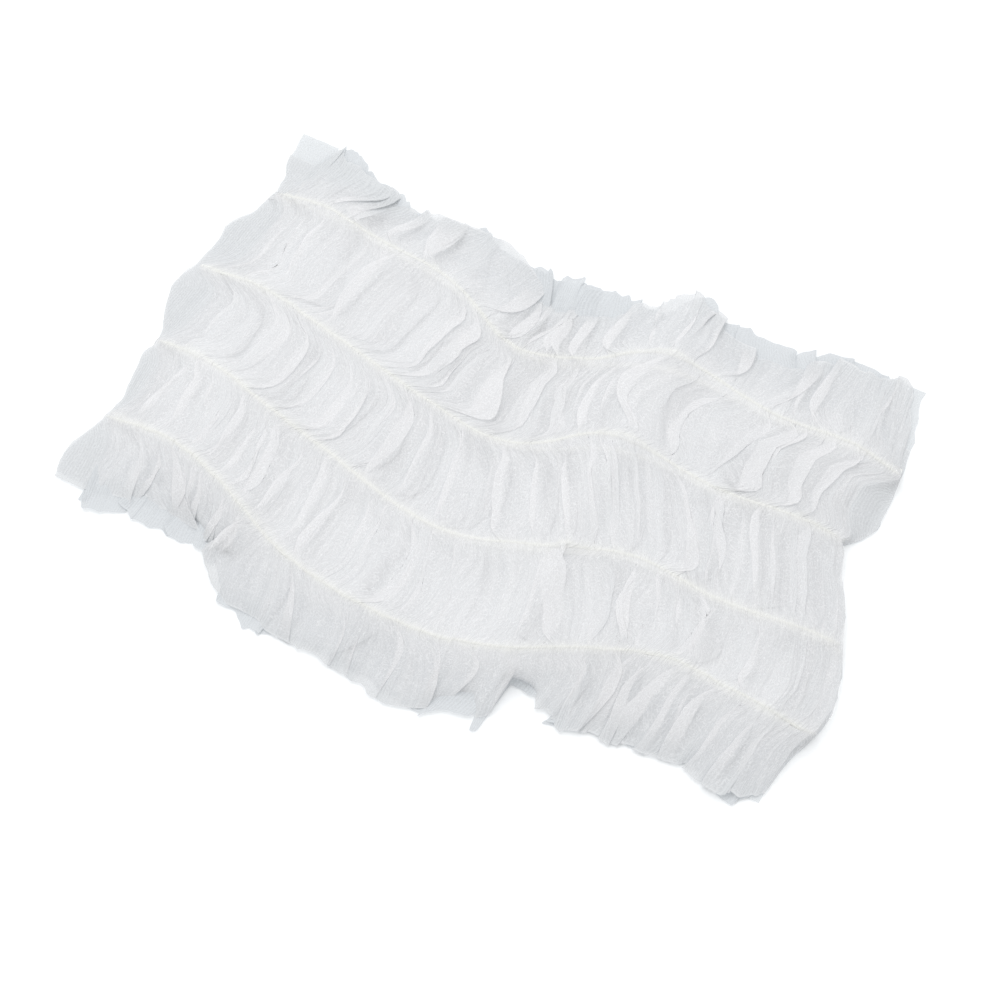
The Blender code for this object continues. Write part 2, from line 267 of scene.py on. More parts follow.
# how the folds lean along the band: (share of the length, run along X for each metre across)
leanPlaces = np.array([(0.0, 0.0), (0.14, 0.20), (0.34, 0.22), (0.48, -0.06), (0.60, -0.34),
                       (0.70, -0.28), (0.84, 0.0), (1.0, 0.0)])

# where the folds bunch up into ridges: (x, y) from end to end, half width and strength
ridges = (
    ((30 * mm, 76 * mm), (33 * mm, -34 * mm), 5.5 * mm, 1.0),
    ((-88 * mm, 84 * mm), (-84 * mm, 56 * mm), 4.5 * mm, 0.8),
    ((98 * mm, -58 * mm), (104 * mm, -82 * mm), 5.0 * mm, 0.7),
    ((-103 * mm, -4 * mm), (-74 * mm, -34 * mm), 5.0 * mm, 0.6),
)
ridgeLook = {"past": 0.2, "bend": 2.5 * mm, "bendTurn": 5, "ease": 0.12}

# how the columns run from end to end, and how far the gathers reach into the margins
planLook = {"rowReach": 4.5 * mm, "atRow": 0.8, "covered": 0.85, "notchHigh": 28 * mm, "notchLow": 22 * mm,
            "bunchShift": 0.012, "bunchTurns": 1.5, "bunchStart": 0.6, "leanBlur": 0.03, "leanReach": 0.045,
            "slopeStep": 2 * mm, "slopeCap": 0.6}

# the waves of both sheets: reach from a row, drift along the sheet in mm, and the spread of each fold's values.
# Cells are the waves of a soft noise across and along the sheet.
waveLook = {"gatherUneven": 0.25, "pleatUneven": 0.35, "gatherReach": 1.7 * mm, "pleatReach": 4.5 * mm,
            "driftWide": 6.0, "wideCells": (7, 20), "driftFine": 1.1, "fineCells": (11, 55),
            "finerCells": (4, 11), "finerLow": 0.1, "finerHigh": 0.8, "finerLoss": 0.55,
            "finerPleats": 0.8, "foldPart": 0.95, "foldDraw": 1.2, "pleatSteep": 0.75, "pleatLeast": 0.12,
            "strength": (0.6, 1.0), "growLength": (5, 15), "growPower": 1.3, "tilt": 1.3, "start": (0.2, 3.6),
            "sideRun": 6, "sideFlip": 0.05, "over": (0.3, 1.1), "uprightPart": 0.14, "upright": 1.9,
            "pressSpread": (0.75, 1.25), "steepest": 1.75, "leastSlope": 20, "longest": 2.2, "blur": 0.75,
            "deepest": -0.25 * mm, "endFade": 0.012, "overFade": 0.06, "overFrom": 0.5 * mm, "overFull": 2 * mm}

# heights and outline: reach of the pressed zone and of the bump over a strand, the CAD's own relief, noise cells
reliefLook = {"pressReach": 2.6 * mm, "bumpReach": 1.1 * mm, "between": 0.7, "wall": 1.6 * mm, "highest": 12 * mm,
              "groundSoft": 0.2 * mm, "crumpleCells": (14, 230), "puffCells": (12, 40),
              "raggedCells": (1, 130), "raggedSlow": 0.6, "slowCells": (1, 46)}

# where the cloth looks single and gets a painted shade of the dim space beneath it, by place: shares of the ruffle,
# patches, windows between folds, and the margins
markLook = {"rowWide": 1.0, "rowQuick": 0.4, "quickCells": (5, 260), "rowSlow": 0.25, "slowCells": (5, 70),
            "rowFade": 0.02, "patchCells": (9, 38), "edgeLow": 0.05, "edgeHigh": 0.45, "topShade": 0.6,
            "bottomShade": 0.7, "cornerShade": 0.4, "cornerFrom": 55 * mm, "cornerFull": 75 * mm,
            "cornerShift": 0.3, "patchLow": 0.1, "patchHigh": 0.6, "patch": 0.08, "patchMore": 0.22,
            "patchX": 60 * mm, "window": 0.34, "windowLess": 0.18, "windowX": 22 * mm, "spotWide": 22 * mm,
            "windowFrom": 0.3 * mm, "windowFull": 1.6 * mm, "end": 0.8, "leftRow": 0.5, "rightCover": 0.6,
            "backShade": 0.6, "backLow": 0.5, "backHigh": 0.85, "bendScale": 900, "hem": 2, "hemWide": 0.02,
            "ridgeBend": 0.5}


def ridgeAt(x, y):
    look = ridgeLook
    total = np.zeros_like(x)
    for (startX, startY), (endX, endY), halfWidth, strength in ridges:
        share = np.clip((y - startY) / (endY - startY), -look["past"], 1 + look["past"])
        middle = startX + (endX - startX) * share + look["bend"] * np.sin(share * look["bendTurn"])
        ends = smoothStep(-look["ease"], look["ease"], share) * smoothStep(-look["ease"], look["ease"], 1 - share)
        total = np.maximum(total, strength * ends * bell(x - middle, halfWidth))
    return total


def unevenPhase(rng, flatLength, waveLength, uneven, columns):
    # running wave number along the sheet, with waves of uneven length, and the number of waves
    count = int(round(flatLength / waveLength))
    widths = np.exp(rng.normal(0, uneven, count))
    bounds = np.concatenate([[0], np.cumsum(widths)]) / widths.sum()
    share = np.linspace(0, 1, columns)
    return np.interp(share, bounds, np.arange(count + 1)), count


def perWave(values, phase, ease=0.12):
    # the value of each wave, eased over from one wave to the next at its foot
    wave = np.clip(np.floor(phase).astype(int), 0, len(values) - 1)
    inside = phase - wave
    before = values[np.maximum(wave - 1, 0)]
    after = values[np.minimum(wave + 1, len(values) - 1)]
    here = values[wave]
    low = 0.5 - 0.5 * smoothStep(0, ease, inside)
    high = 0.5 - 0.5 * smoothStep(0, ease, 1 - inside)
    return here * (1 - low - high) + before * low + after * high


# places of the lines across a region: two more along each free edge, and how even they are in a lane
lineLook = {"topExtra": [0.012, 0.035], "bottomExtra": [0.965, 0.988], "even": 0.45}


def acrossLines(look):
    # region number and share across it for each line, crowded near the rows
    regions, shares = [], []
    for region in range(5):
        count = look["ruffleLines"] if region in (0, 4) else look["laneLines"]
        even = np.linspace(0, 1, count + 1)
        if region == 0:
            share = np.insert(0.5 * even + 0.5 * np.sin(even * math.pi / 2), 1, lineLook["topExtra"])
        elif region == 4:
            share = np.insert(0.5 * even + 0.5 * (1 - np.cos(even * math.pi / 2)), count, lineLook["bottomExtra"])
        else:
            share = lineLook["even"] * even + (1 - lineLook["even"]) * (0.5 - 0.5 * np.cos(even * math.pi))
        if region < 4:
            share = share[:-1]
        regions += [region] * len(share)
        shares += list(share)
    return np.array(regions), np.array(shares)


def curveAt(curve, x, axis):
    return np.interp(x, curve[:, 0], curve[:, axis])


def rowDistance(curves, region, share, x):
    # distance of each line from its nearest row, and that row's number
    away = np.empty(x.shape)
    nearest = np.empty(len(region), int)
    for i, (part, place) in enumerate(zip(region, share)):
        depth = np.abs(curveAt(curves[part], x[i], 1) - curveAt(curves[part + 1], x[i], 1))
        if part == 0:
            away[i], nearest[i] = (1 - place) * depth, 0
        elif part == 4:
            away[i], nearest[i] = place * depth, 3
        else:
            away[i] = min(place, 1 - place) * depth
            nearest[i] = part - 1 if place < 0.5 else part
    return away, nearest


def reachAt(reach, y, outwards):
    # from the inner edge of a margin towards its outer edge, by the share outwards
    inner = np.interp(y, reach[:, 0], reach[:, 1])
    return (inner + (np.interp(y, reach[:, 0], reach[:, 2]) - inner) * outwards)[:, None]


def planSheet(look, rows, panel):
    # where each column crosses each line before the cloth is folded
    region, share = acrossLines(look)
    curves = [edgeLine(panel, True), *rows, edgeLine(panel, False)]
    columns = look["columns"]
    along = np.linspace(0, 1, columns)

    def across(x):
        values = np.empty_like(x)
        for i, part in enumerate(region):
            upper, lower = curveAt(curves[part], x[i], 1), curveAt(curves[part + 1], x[i], 1)
            values[i] = upper + (lower - upper) * share[i]
        return values

    endX = np.tile(np.array([leftReach[:, 1].mean(), rightReach[:, 1].mean()]), (len(region), 1))
    endY = across(endX)
    atRow = bell(rowDistance(curves, region, share, endX)[0], planLook["rowReach"]) * planLook["atRow"]
    notch = smoothStep(-planLook["notchHigh"], -planLook["notchLow"], -endY[:, 1])
    cover = np.maximum(atRow[:, 1], planLook["covered"] * notch)
    left = reachAt(leftReach, endY[:, 0], atRow[:, 0])
    right = reachAt(rightReach, endY[:, 1], cover)
    bunch = np.sin(2 * math.pi * along * planLook["bunchTurns"] + planLook["bunchStart"])
    bunch = along + planLook["bunchShift"] * bunch * np.sin(math.pi * along)
    lean = np.interp(along, leanPlaces[:, 0], leanPlaces[:, 1])
    lean = lowPass(lean[None], columns * planLook["leanBlur"]) * 4 * along * (1 - along)
    straight = left + (right - left) * bunch[None]
    baseX, reach = straight, planLook["leanReach"]
    for _ in range(3):
        baseX = straight + lean * (reach * np.tanh(across(baseX) / reach))
    step = planLook["slopeStep"]
    slope = (across(baseX + step) - across(baseX - step)) / (2 * step)
    slope = np.clip(slope, -planLook["slopeCap"], planLook["slopeCap"])
    tangentX = 1 / np.hypot(1, slope)
    rowAway, nearest = rowDistance(curves, region, share, baseX)
    return {"region": region, "share": share, "curves": curves, "along": along, "x": baseX, "y": across(baseX),
            "tangentX": tangentX, "tangentY": slope * tangentX, "rowAway": rowAway, "nearest": nearest,
            "fullness": look["flatLength"] / (right - left).mean(), "atRow": atRow[:, :1],
            "cover": cover[:, None]}


def foldChances(look, count, rng):
    # the chance values of each fold of one region
    wave = waveLook
    fold = {"strength": rng.uniform(*wave["strength"], count)}
    fold["growLength"] = rng.uniform(*wave["growLength"], count) * mm
    tilt = rng.uniform(-wave["tilt"], wave["tilt"], count)
    fold["tilt"] = tilt
    fold["nearStart"] = rng.uniform(*wave["start"], count) * mm
    fold["farStart"] = rng.uniform(*wave["start"], count) * mm
    run = wave["sideRun"]
    side = np.repeat(rng.choice([-1, 1], count // run + 1), run)[:count]
    side = np.where(rng.random(count) < wave["sideFlip"], -side, side)
    fold["over"] = side * rng.uniform(*wave["over"], count) * look["layOver"]
    fold["edgeStep"] = rng.uniform(-1, 1, count) * look["edgeStep"]
    fold["upright"] = np.where(rng.random(count) < wave["uprightPart"], wave["upright"], 1.0)
    fold["upright"] *= rng.uniform(*wave["pressSpread"], count)
    return fold


def steepestAngles(draw, away, finer, fold, starts, moved):
    # of the broad folds, the pleats and the gathers along one line
    wave = waveLook
    grown = np.clip((away - perWave(starts, moved)) / perWave(fold["growLength"], moved), 0, 1)
    grown = np.sin(math.pi / 2 * grown) ** wave["growPower"] * perWave(fold["strength"], moved)
    fine = bell(away, wave["gatherReach"])
    broad = grown * (1 - fine) * wave["foldPart"] * (1 - wave["finerLoss"] * finer)
    near = np.maximum(bell(away, wave["pleatReach"]), wave["finerPleats"] * finer)
    middle = np.maximum(0, 1 - fine - broad) * (wave["pleatLeast"] + (1 - wave["pleatLeast"]) * near)
    foldAngle = angleFor(np.exp(-draw * broad * wave["foldDraw"]))
    pleatAngle = wave["pleatSteep"] * angleFor(np.exp(-draw * middle))
    return foldAngle, pleatAngle, angleFor(np.exp(-draw * fine))


def foldSheet(look, plan, rng):
    # how far the folded cloth runs aside from its plan and how high it rises, with the marks of its folds
    wave = waveLook
    region, share, along, rowAway = plan["region"], plan["share"], plan["along"], plan["rowAway"]
    shape = rowAway.shape
    flatLength, columns = look["flatLength"], look["columns"]
    flatStep = flatLength / (columns - 1)
    flatPlace = along * flatLength

    def phases(waveLength, uneven, count):
        return [unevenPhase(rng, flatLength, waveLength, uneven, columns)[0] for _ in range(count)]

    # gathers for each row, and pleats for each side of each row
    gatherPhase = phases(look["gatherLength"], wave["gatherUneven"], 4)
    pleatPhase = phases(look["pleatLength"], wave["pleatUneven"], 8)
    angle, shift, foldHigh, foldShare, edgeStep = (np.zeros(shape) for _ in range(5))
    drift = softNoise(rng, shape, wave["wideCells"]) * wave["driftWide"] * mm
    drift += softNoise(rng, shape, wave["fineCells"]) * wave["driftFine"] * mm
    finer = smoothStep(wave["finerLow"], wave["finerHigh"], softNoise(rng, shape, wave["finerCells"]))
    ridge = ridgeAt(plan["x"], plan["y"]) * np.sign(look["ridgeRise"])
    finer = np.maximum(finer, ridge)
    draw = np.log(plan["fullness"])
    for part in range(5):
        phase, count = unevenPhase(rng, flatLength, look["foldLength"], look["foldUneven"], columns)
        fold = foldChances(look, count, rng)
        for i in np.where(region == part)[0]:
            moved = np.interp(flatPlace + drift[i], flatPlace, phase)
            starts = fold["nearStart" if share[i] < 0.5 else "farStart"]
            foldAngle, pleatAngle, gatherAngle = steepestAngles(draw, rowAway[i], finer[i], fold, starts, moved)
            row = plan["nearest"][i]
            angle[i] = (foldAngle * np.sin(2 * math.pi * moved)
                        + pleatAngle * np.sin(2 * math.pi * pleatPhase[row * 2 + (part > row)])
                        + gatherAngle * np.sin(2 * math.pi * gatherPhase[row]))
            waveLength = 1 / np.maximum(np.gradient(moved, flatPlace), wave["leastSlope"])
            waveLength = np.minimum(waveLength, wave["longest"] * look["foldLength"])
            foldHigh[i] = np.interp(foldAngle, waveAngles, waveHeight) * waveLength
            shift[i] = perWave(fold["over"] + fold["tilt"] * (share[i] - 0.5), moved)
            edgeStep[i] = perWave(fold["edgeStep"], moved)
            foldShare[i] = perWave(fold["upright"], moved)
    angle = np.clip(angle, -wave["steepest"], wave["steepest"])
    draws = np.cumsum(np.cos(angle), axis=1) * flatStep
    rises = np.cumsum(np.sin(angle), axis=1) * flatStep
    sigma = look["foldLength"] / flatStep * wave["blur"]
    aside = draws - lowPass(draws, sigma)
    rises = rises - lowPass(rises, sigma) + lowPass(foldHigh, sigma / 3) / 2
    rises = np.maximum(rises, wave["deepest"])
    aside *= fadeEnds(along, wave["endFade"])
    rises *= fadeEnds(along, wave["endFade"])
    shift *= fadeEnds(along, wave["overFade"])
    aside = aside + shift * rises * smoothStep(wave["overFrom"], wave["overFull"], rises)
    for values in (aside, rises, aside, rises):
        easeOnce(values)
    bend = np.abs(np.gradient(angle, axis=1)) / flatStep
    return {"aside": aside, "rises": rises, "ridge": ridge, "edgeStep": edgeStep, "bend": bend,
            "pressed": look["pressed"] * foldShare}


def placeSheet(look, plan, folds, panel, rng):
    # the rows lie under their strands, the cloth between them puffs up a little, the free edges follow the photo
    region, share, curves, baseX = plan["region"], plan["share"], plan["curves"], plan["x"]
    ground = look["ground"]
    nearFine = bell(plan["rowAway"], reliefLook["pressReach"])
    raised = folds["rises"] * (folds["pressed"] * (1 - nearFine) + look["gatherRise"] * nearFine)
    raised = look["softCap"] * np.tanh(raised / look["softCap"])
    rowHigh = np.empty_like(baseX)
    for i, part in enumerate(region):
        upper = ground if part == 0 else curveAt(curves[part], baseX[i], 2) - look["rowSink"]
        lower = ground if part == 4 else curveAt(curves[part + 1], baseX[i], 2) - look["rowSink"]
        rowHigh[i] = upper + (lower - upper) * share[i]
    topRuffle, bottomRuffle = region == 0, region == 4
    between = np.where(topRuffle | bottomRuffle, 0.0, np.sin(math.pi * share) ** reliefLook["between"])[:, None]
    relief = readField(heightField(panel), baseX, plan["y"]) - rowHigh - reliefLook["wall"]
    relief = np.clip(relief, 0, reliefLook["highest"]) * between * look["laneRise"]
    crumple = softNoise(rng, baseX.shape, reliefLook["crumpleCells"]) * look["crumple"] * (1 - nearFine)
    crumple += softNoise(rng, baseX.shape, reliefLook["puffCells"]) * look["puff"] * between
    rowHigh = np.maximum(rowHigh, ground)
    rowHigh += (ground - rowHigh) * look["sag"] * between
    bump = look["rowBump"] * bell(plan["rowAway"], reliefLook["bumpReach"]) + look["ridgeRise"] * folds["ridge"]
    z = above(rowHigh + relief + raised + crumple + bump, ground - reliefLook["groundSoft"])
    x = baseX + folds["aside"] * plan["tangentX"]
    y = plan["y"] + folds["aside"] * plan["tangentY"]
    edge = np.where(topRuffle, (1 - share) ** 2, np.where(bottomRuffle, share ** 2, 0))[:, None]
    outwards = np.where(topRuffle, 1, -1)[:, None]
    size = (2, look["columns"])
    ragged = softNoise(rng, size, reliefLook["raggedCells"])
    ragged = ragged + reliefLook["raggedSlow"] * softNoise(rng, size, reliefLook["slowCells"])
    table = look["edgeOut"]
    spread = []
    for line, column in ((0, 1), (-1, 2)):
        out = np.interp(plan["along"], table[:, 0], table[:, column])
        spread.append(out + np.interp(baseX[line], edgeShape[:, 0] * mm, edgeShape[:, column]))
    spread = np.where(topRuffle[:, None], spread[0], spread[1]) * mm
    ragged = look["edgeRagged"] * ragged[np.where(topRuffle, 0, 1)]
    return x, y + edge * outwards * (spread + folds["edgeStep"] + ragged), z


def clothMarks(look, plan, folds, x, edgeAway, rng):
    # marks that the material reads: sharp bends, the rows, and where the cloth looks single, which gets painted
    # shade
    count, along, region = look["marginColumns"], plan["along"], plan["region"]
    shape = plan["rowAway"].shape
    mark = markLook
    width = mark["rowWide"] + mark["rowQuick"] * softNoise(rng, shape, mark["quickCells"])
    width = width + mark["rowSlow"] * softNoise(rng, shape, mark["slowCells"])
    nearRow = bell(plan["rowAway"], width * mm)
    if count:
        # the upper sheet, which holds the flat margins
        nearRow = nearRow * smoothStep(0, mark["rowFade"], along) * smoothStep(0, mark["rowFade"], 1 - along)
        nearRow = np.pad(nearRow, ((0, 0), (count, count)))
        inner = slice(count, -count)
        middle = x[:, inner]
        # painted shade in random patches, along the free edges of the ruffles and more at the top left corner
        patch = smoothStep(mark["patchLow"], mark["patchHigh"], softNoise(rng, shape, mark["patchCells"]))
        patch *= np.where((region == 0) | (region == 4), 0, np.sin(math.pi * plan["share"]))[:, None]
        corner = np.where(region == 0, 1, 0)[:, None] * smoothStep(mark["cornerFrom"], mark["cornerFull"], -x)
        ruffle = np.where(region == 0, mark["topShade"], mark["bottomShade"])[:, None] + mark["cornerShade"] * corner
        thinShade = ruffle * (1 - smoothStep(mark["edgeLow"], mark["edgeHigh"], edgeAway - mark["cornerShift"] * corner))
        # more painted shade in the windows between folds, where one layer lies over the dim space beneath
        window = 1 - smoothStep(mark["windowFrom"], mark["windowFull"], folds["rises"])
        window *= 1 - bell(plan["rowAway"], reliefLook["pressReach"])
        thinShade[:, inner] += patch * (mark["patch"]
                                   + mark["patchMore"] * bell(middle - mark["patchX"], mark["spotWide"]))
        thinShade[:, inner] += window * (mark["window"]
                                    - mark["windowLess"] * bell(middle - mark["windowX"], mark["spotWide"]))
        thinShade = np.minimum(thinShade, 1)
        # painted shade at the ends of the gathers and on the margin columns
        ends = 1 - smoothStep(0, waveLook["endFade"], along)
        thinShade[:, inner] += np.maximum(0, mark["end"] - thinShade[:, inner]) * ends * (1 - plan["atRow"])
        thinShade[:, :count] = mark["end"] - mark["leftRow"] * plan["atRow"]
        thinShade[:, -count:] = mark["end"] - mark["rightCover"] * plan["cover"]
    else:
        # painted shade over all of the lower sheet, fullest along its free edges
        thinShade = 1 - mark["backShade"] * smoothStep(mark["backLow"], mark["backHigh"], edgeAway) + np.zeros_like(x)
    bend = np.pad(np.clip(folds["bend"] / mark["bendScale"], 0, 1), ((0, 0), (count, count)))
    dense = np.pad(folds["ridge"], ((0, 0), (count, count)))
    bend = bend + mark["hem"] * bell(edgeAway, mark["hemWide"]) + mark["ridgeBend"] * dense
    return {"bend": bend, "nearRow": nearRow, "thinShade": thinShade}


def gatheredSheet(look, rows, panel):
    # places, flat places and marks of one panel's cloth
    rng = np.random.default_rng(look["seed"])
    plan = planSheet(look, rows, panel)
    folds = foldSheet(look, plan, rng)
    x, y, z = placeSheet(look, plan, folds, panel, rng)
    flatU = np.tile(plan["along"] * look["flatLength"], (len(x), 1))
    flatV = np.concatenate([[0], np.cumsum(np.abs(np.diff(plan["y"].mean(1))))])
    count = look["marginColumns"]
    if count:
        # flat margins past the gathers, out to the cut edge of the weld
        ease = np.linspace(0, 1, count + 1)[None, 1:]
        outerLeft = np.interp(y[:, :1], leftReach[:, 0], leftReach[:, 2])
        outerRight = np.interp(y[:, -1:], rightReach[:, 0], rightReach[:, 2])
        leftX = x[:, :1] + (outerLeft - x[:, :1]) * ease
        rightX = x[:, -1:] + (outerRight - x[:, -1:]) * ease
        leftZ = z[:, :1] + (look["ground"] - z[:, :1]) * smoothStep(0, 1, ease)
        rightZ = z[:, -1:] + (look["ground"] - z[:, -1:]) * smoothStep(0, 1, ease)
        leftU = -(flatU[:, :1] + np.abs(leftX - x[:, :1]))
        rightU = flatU[:, -1:] + np.abs(rightX - x[:, -1:])
        x = np.concatenate([leftX[:, ::-1], x, rightX], axis=1)
        y = np.pad(y, ((0, 0), (count, count)), mode="edge")
        z = np.concatenate([leftZ[:, ::-1], z, rightZ], axis=1)
        flatU = np.concatenate([leftU[:, ::-1], flatU, rightU], axis=1)
    flatV = np.repeat(flatV[:, None], x.shape[1], 1)
    region, share = plan["region"], plan["share"]
    edgeAway = np.where(region == 0, share, np.where(region == 4, 1 - share, 1))[:, None]
    marks = clothMarks(look, plan, folds, x, edgeAway, rng)
    return np.stack([x, y, z], axis=-1), np.stack([flatU, flatV], axis=-1), marks


# how far the shading normals are drawn upright, and the least that they agree with their face
shadeLook = {"soften": 0.8, "steep": 0.3, "least": 0.45}


def gridPiece(name, places, flat, marks):
    # mesh of a sheet; its shading normals are drawn towards the upright, as light spreads inside the cloth
    look = shadeLook
    lineCount, columns = places.shape[:2]
    index = np.arange(lineCount * columns).reshape(lineCount, columns)
    faces = np.stack([index[1:, :-1], index[1:, 1:], index[:-1, 1:], index[:-1, :-1]], axis=-1).reshape(-1, 4)
    mesh = bpy.data.meshes.new(name)
    mesh.from_pydata(places.reshape(-1, 3).tolist(), [], faces.tolist())
    layer = mesh.uv_layers.new(name="flat")
    layer.data.foreach_set("uv", flat.reshape(-1, 2)[faces.reshape(-1)].astype(np.float32).ravel())
    for mark, values in marks.items():
        attribute = mesh.attributes.new(mark, "FLOAT", "POINT")
        attribute.data.foreach_set("value", values.astype(np.float32).ravel())
    mesh.shade_smooth()
    mesh.update()
    faceNormals = np.empty(len(faces) * 3)
    mesh.polygon_normals.foreach_get("vector", faceNormals)
    faceNormals = faceNormals.reshape(-1, 1, 3)
    pointNormals = np.empty(lineCount * columns * 3)
    mesh.vertex_normals.foreach_get("vector", pointNormals)
    shading = pointNormals.reshape(-1, 3)[faces]
    shading[..., 2] += look["soften"] * np.tanh(faceNormals[..., 2] / look["steep"])
    shading += faceNormals * np.maximum(0, look["least"] - (shading * faceNormals).sum(-1))[..., None]
    shading /= np.linalg.norm(shading, axis=-1)[..., None]
    mesh.normals_split_custom_set(shading.reshape(-1, 3).tolist())
    piece = bpy.data.objects.new(name, mesh)
    bpy.context.scene.collection.objects.link(piece)
    return piece


sheets = []
for name, look, rows, panel in (("front_sheet", frontCloth, frontRows, "front_panel"),
                                ("back_sheet", backCloth, backRows, "back_panel")):
    places, flat, marks = gatheredSheet(look, rows, panel)
    sheets.append(gridPiece(name, places, flat, marks))
    print(name, places.shape, places.min((0, 1)), places.max((0, 1)))
frontSheet, backSheet = sheets


# Flat lower layer of each welded margin

marginCloth = {"lines": 90, "columns": 14, "height": 0.45 * mm, "lap": 5 * mm, "wave": 0.25 * mm, "seed": 5,
               "waveCells": (22, 4), "cutWave": 0.5 * mm, "cutCells": (0, 40),
               "leftPast": 2.2 * mm, "rightPast": 3.6 * mm}


def marginSheet(name, reach, side):
    look = marginCloth
    rng = np.random.default_rng(look["seed"] + side)
    past = look["rightPast"] if side > 0 else look["leftPast"]
    ys = np.linspace(reach[0, 0], reach[-1, 0] + past, look["lines"])
    inner = np.interp(ys, reach[:, 0], reach[:, 1]) - side * look["lap"]
    outer = np.interp(ys, reach[:, 0], reach[:, 2])
    outer = outer + side * look["cutWave"] * softNoise(rng, (1, look["lines"]), look["cutCells"])[0]
    x = inner[:, None] + (outer - inner)[:, None] * np.linspace(0, 1, look["columns"])[None]
    y = np.repeat(ys[:, None], look["columns"], 1)
    z = look["height"] + look["wave"] * softNoise(rng, x.shape, look["waveCells"])
    places = np.stack([x, y, z], axis=-1)[::-1, ::side]
    # the whole margin takes the painted shade colour
    marks = {"bend": np.zeros(x.shape), "nearRow": np.zeros(x.shape), "thinShade": np.ones(x.shape)}
    return gridPiece(name, places, places[..., :2], marks)


leftMargin = marginSheet("left_margin", leftReach, -1)
rightMargin = marginSheet("right_margin", rightReach, 1)


# Elastic strands, with the cloth bunched round them in small beads

# the path rises and runs aside in soft waves of about risePoints and sidePoints of its points
strandLook = {"sides": 9, "step": 0.24 * mm, "beadPitch": 1.25 * mm, "beadUneven": 0.28, "bead": 0.25,
              "beadMean": 0.6, "beadWave": 0.12, "beadWaves": 90, "wide": 0.43 * mm, "high": 0.29 * mm,
              "sunk": 0.12 * mm, "riseWave": 0.12 * mm, "risePoints": 24, "sideWave": 0.32 * mm,
              "sidePoints": 18, "leftShort": 1.5 * mm, "rightShort": 1.0 * mm, "points": 160, "blur": 12,
              "seed": 3}


def beadedStrand(name, line, number):
    look = strandLook
    rng = np.random.default_rng(look["seed"] + number)
    low = np.interp(line[0, 1], leftReach[:, 0], leftReach[:, 2]) + look["leftShort"]
    high = np.interp(line[-1, 1], rightReach[:, 0], rightReach[:, 2]) - look["rightShort"]
    places = np.linspace(max(low, line[0, 0]), min(high, line[-1, 0]), look["points"])
    line = np.stack([places, curveAt(line, places, 1), curveAt(line, places, 2)], axis=1)
    lengths = np.concatenate([[0], np.cumsum(np.linalg.norm(np.diff(line, axis=0), axis=1))])
    count = int(lengths[-1] / look["step"])
    at = np.linspace(0, lengths[-1], count)
    path = np.stack([np.interp(at, lengths, line[:, k]) for k in range(3)], axis=1)
    path = lowPass(path.T, look["blur"]).T
    path[:, 2] -= look["sunk"]
    path[:, 2] += look["riseWave"] * softNoise(rng, (1, count), (0, count // look["risePoints"]))[0]
    path[:, 1] += look["sideWave"] * softNoise(rng, (1, count), (0, count // look["sidePoints"]))[0]
    tangent = np.gradient(path, axis=0)
    tangent /= np.linalg.norm(tangent, axis=1)[:, None]
    aside = np.cross(np.array([0, 0, 1.0]), tangent)
    aside /= np.linalg.norm(aside, axis=1)[:, None]
    upward = np.cross(tangent, aside)
    beat = unevenPhase(rng, lengths[-1], look["beadPitch"], look["beadUneven"], count)[0]
    bead = 1 + look["bead"] * (np.abs(np.sin(math.pi * beat)) - look["beadMean"])
    bead += look["beadWave"] * softNoise(rng, (1, count), (0, look["beadWaves"]))[0]
    sides = look["sides"]
    ring = np.linspace(0, 2 * math.pi, sides, endpoint=False)
    wide = look["wide"] * bead[:, None] * np.cos(ring)[None]
    high = look["high"] * bead[:, None] * np.sin(ring)[None]
    points = path[:, None] + wide[..., None] * aside[:, None] + high[..., None] * upward[:, None]
    index = np.arange(count * sides).reshape(count, sides)
    following = np.roll(index, -1, axis=1)
    faces = np.stack([index[:-1], following[:-1], following[1:], index[1:]], axis=-1).reshape(-1, 4).tolist()
    faces.append(index[0][::-1].tolist())
    faces.append(index[-1].tolist())
    mesh = bpy.data.meshes.new(name)
    mesh.from_pydata(points.reshape(-1, 3).tolist(), [], faces)
    mesh.shade_smooth()
    piece = bpy.data.objects.new(name, mesh)
    bpy.context.scene.collection.objects.link(piece)
    return piece


strands = []
for number in range(4):
    strands.append(beadedStrand(f"front_strand_{number + 1}", frontRows[number], number))
    strands.append(beadedStrand(f"back_strand_{number + 1}", backRows[number], number + 4))
print("modelled the sheets, margins and strands")


# Materials

def nodeGroup(name, inputs, outputs):
    group = bpy.data.node_groups.new(name, "ShaderNodeTree")
    for label, kind, value in inputs:
        socket = group.interface.new_socket(label, in_out="INPUT", socket_type=kind)
        if value is not None:
            socket.default_value = value
    for label, kind in outputs:
        group.interface.new_socket(label, in_out="OUTPUT", socket_type=kind)
    return group, group.nodes.new("NodeGroupInput"), group.nodes.new("NodeGroupOutput")


def mathNode(tree, operation, first, second=None, clamp=False):
    node = tree.nodes.new("ShaderNodeMath")
    node.operation = operation
    node.use_clamp = clamp
    for socket, value in zip(node.inputs, (first, second)):
        if value is None:
            continue
        if isinstance(value, (int, float)):
            socket.default_value = value
        else:
            tree.links.new(value, socket)
    return node.outputs[0]


def mixColour(tree, share, first, second):
    # from the first colour to the second by the share
    mix = tree.nodes.new("ShaderNodeMix")
    mix.data_type = "RGBA"
    tree.links.new(share, mix.inputs[0])
    for socket, value in ((mix.inputs[6], first), (mix.inputs[7], second)):
        if isinstance(value, tuple):
            socket.default_value = value
        else:
            tree.links.new(value, socket)
    return mix.outputs[2]


def markValue(tree, name):
    node = tree.nodes.new("ShaderNodeAttribute")
    node.attribute_name = name
    return node.outputs["Fac"]


def bumpNormal(tree, height, strength, distance):
    bump = tree.nodes.new("ShaderNodeBump")
    bump.inputs["Strength"].default_value = strength
    bump.inputs["Distance"].default_value = distance
    tree.links.new(height, bump.inputs["Height"])
    return bump.outputs["Normal"]


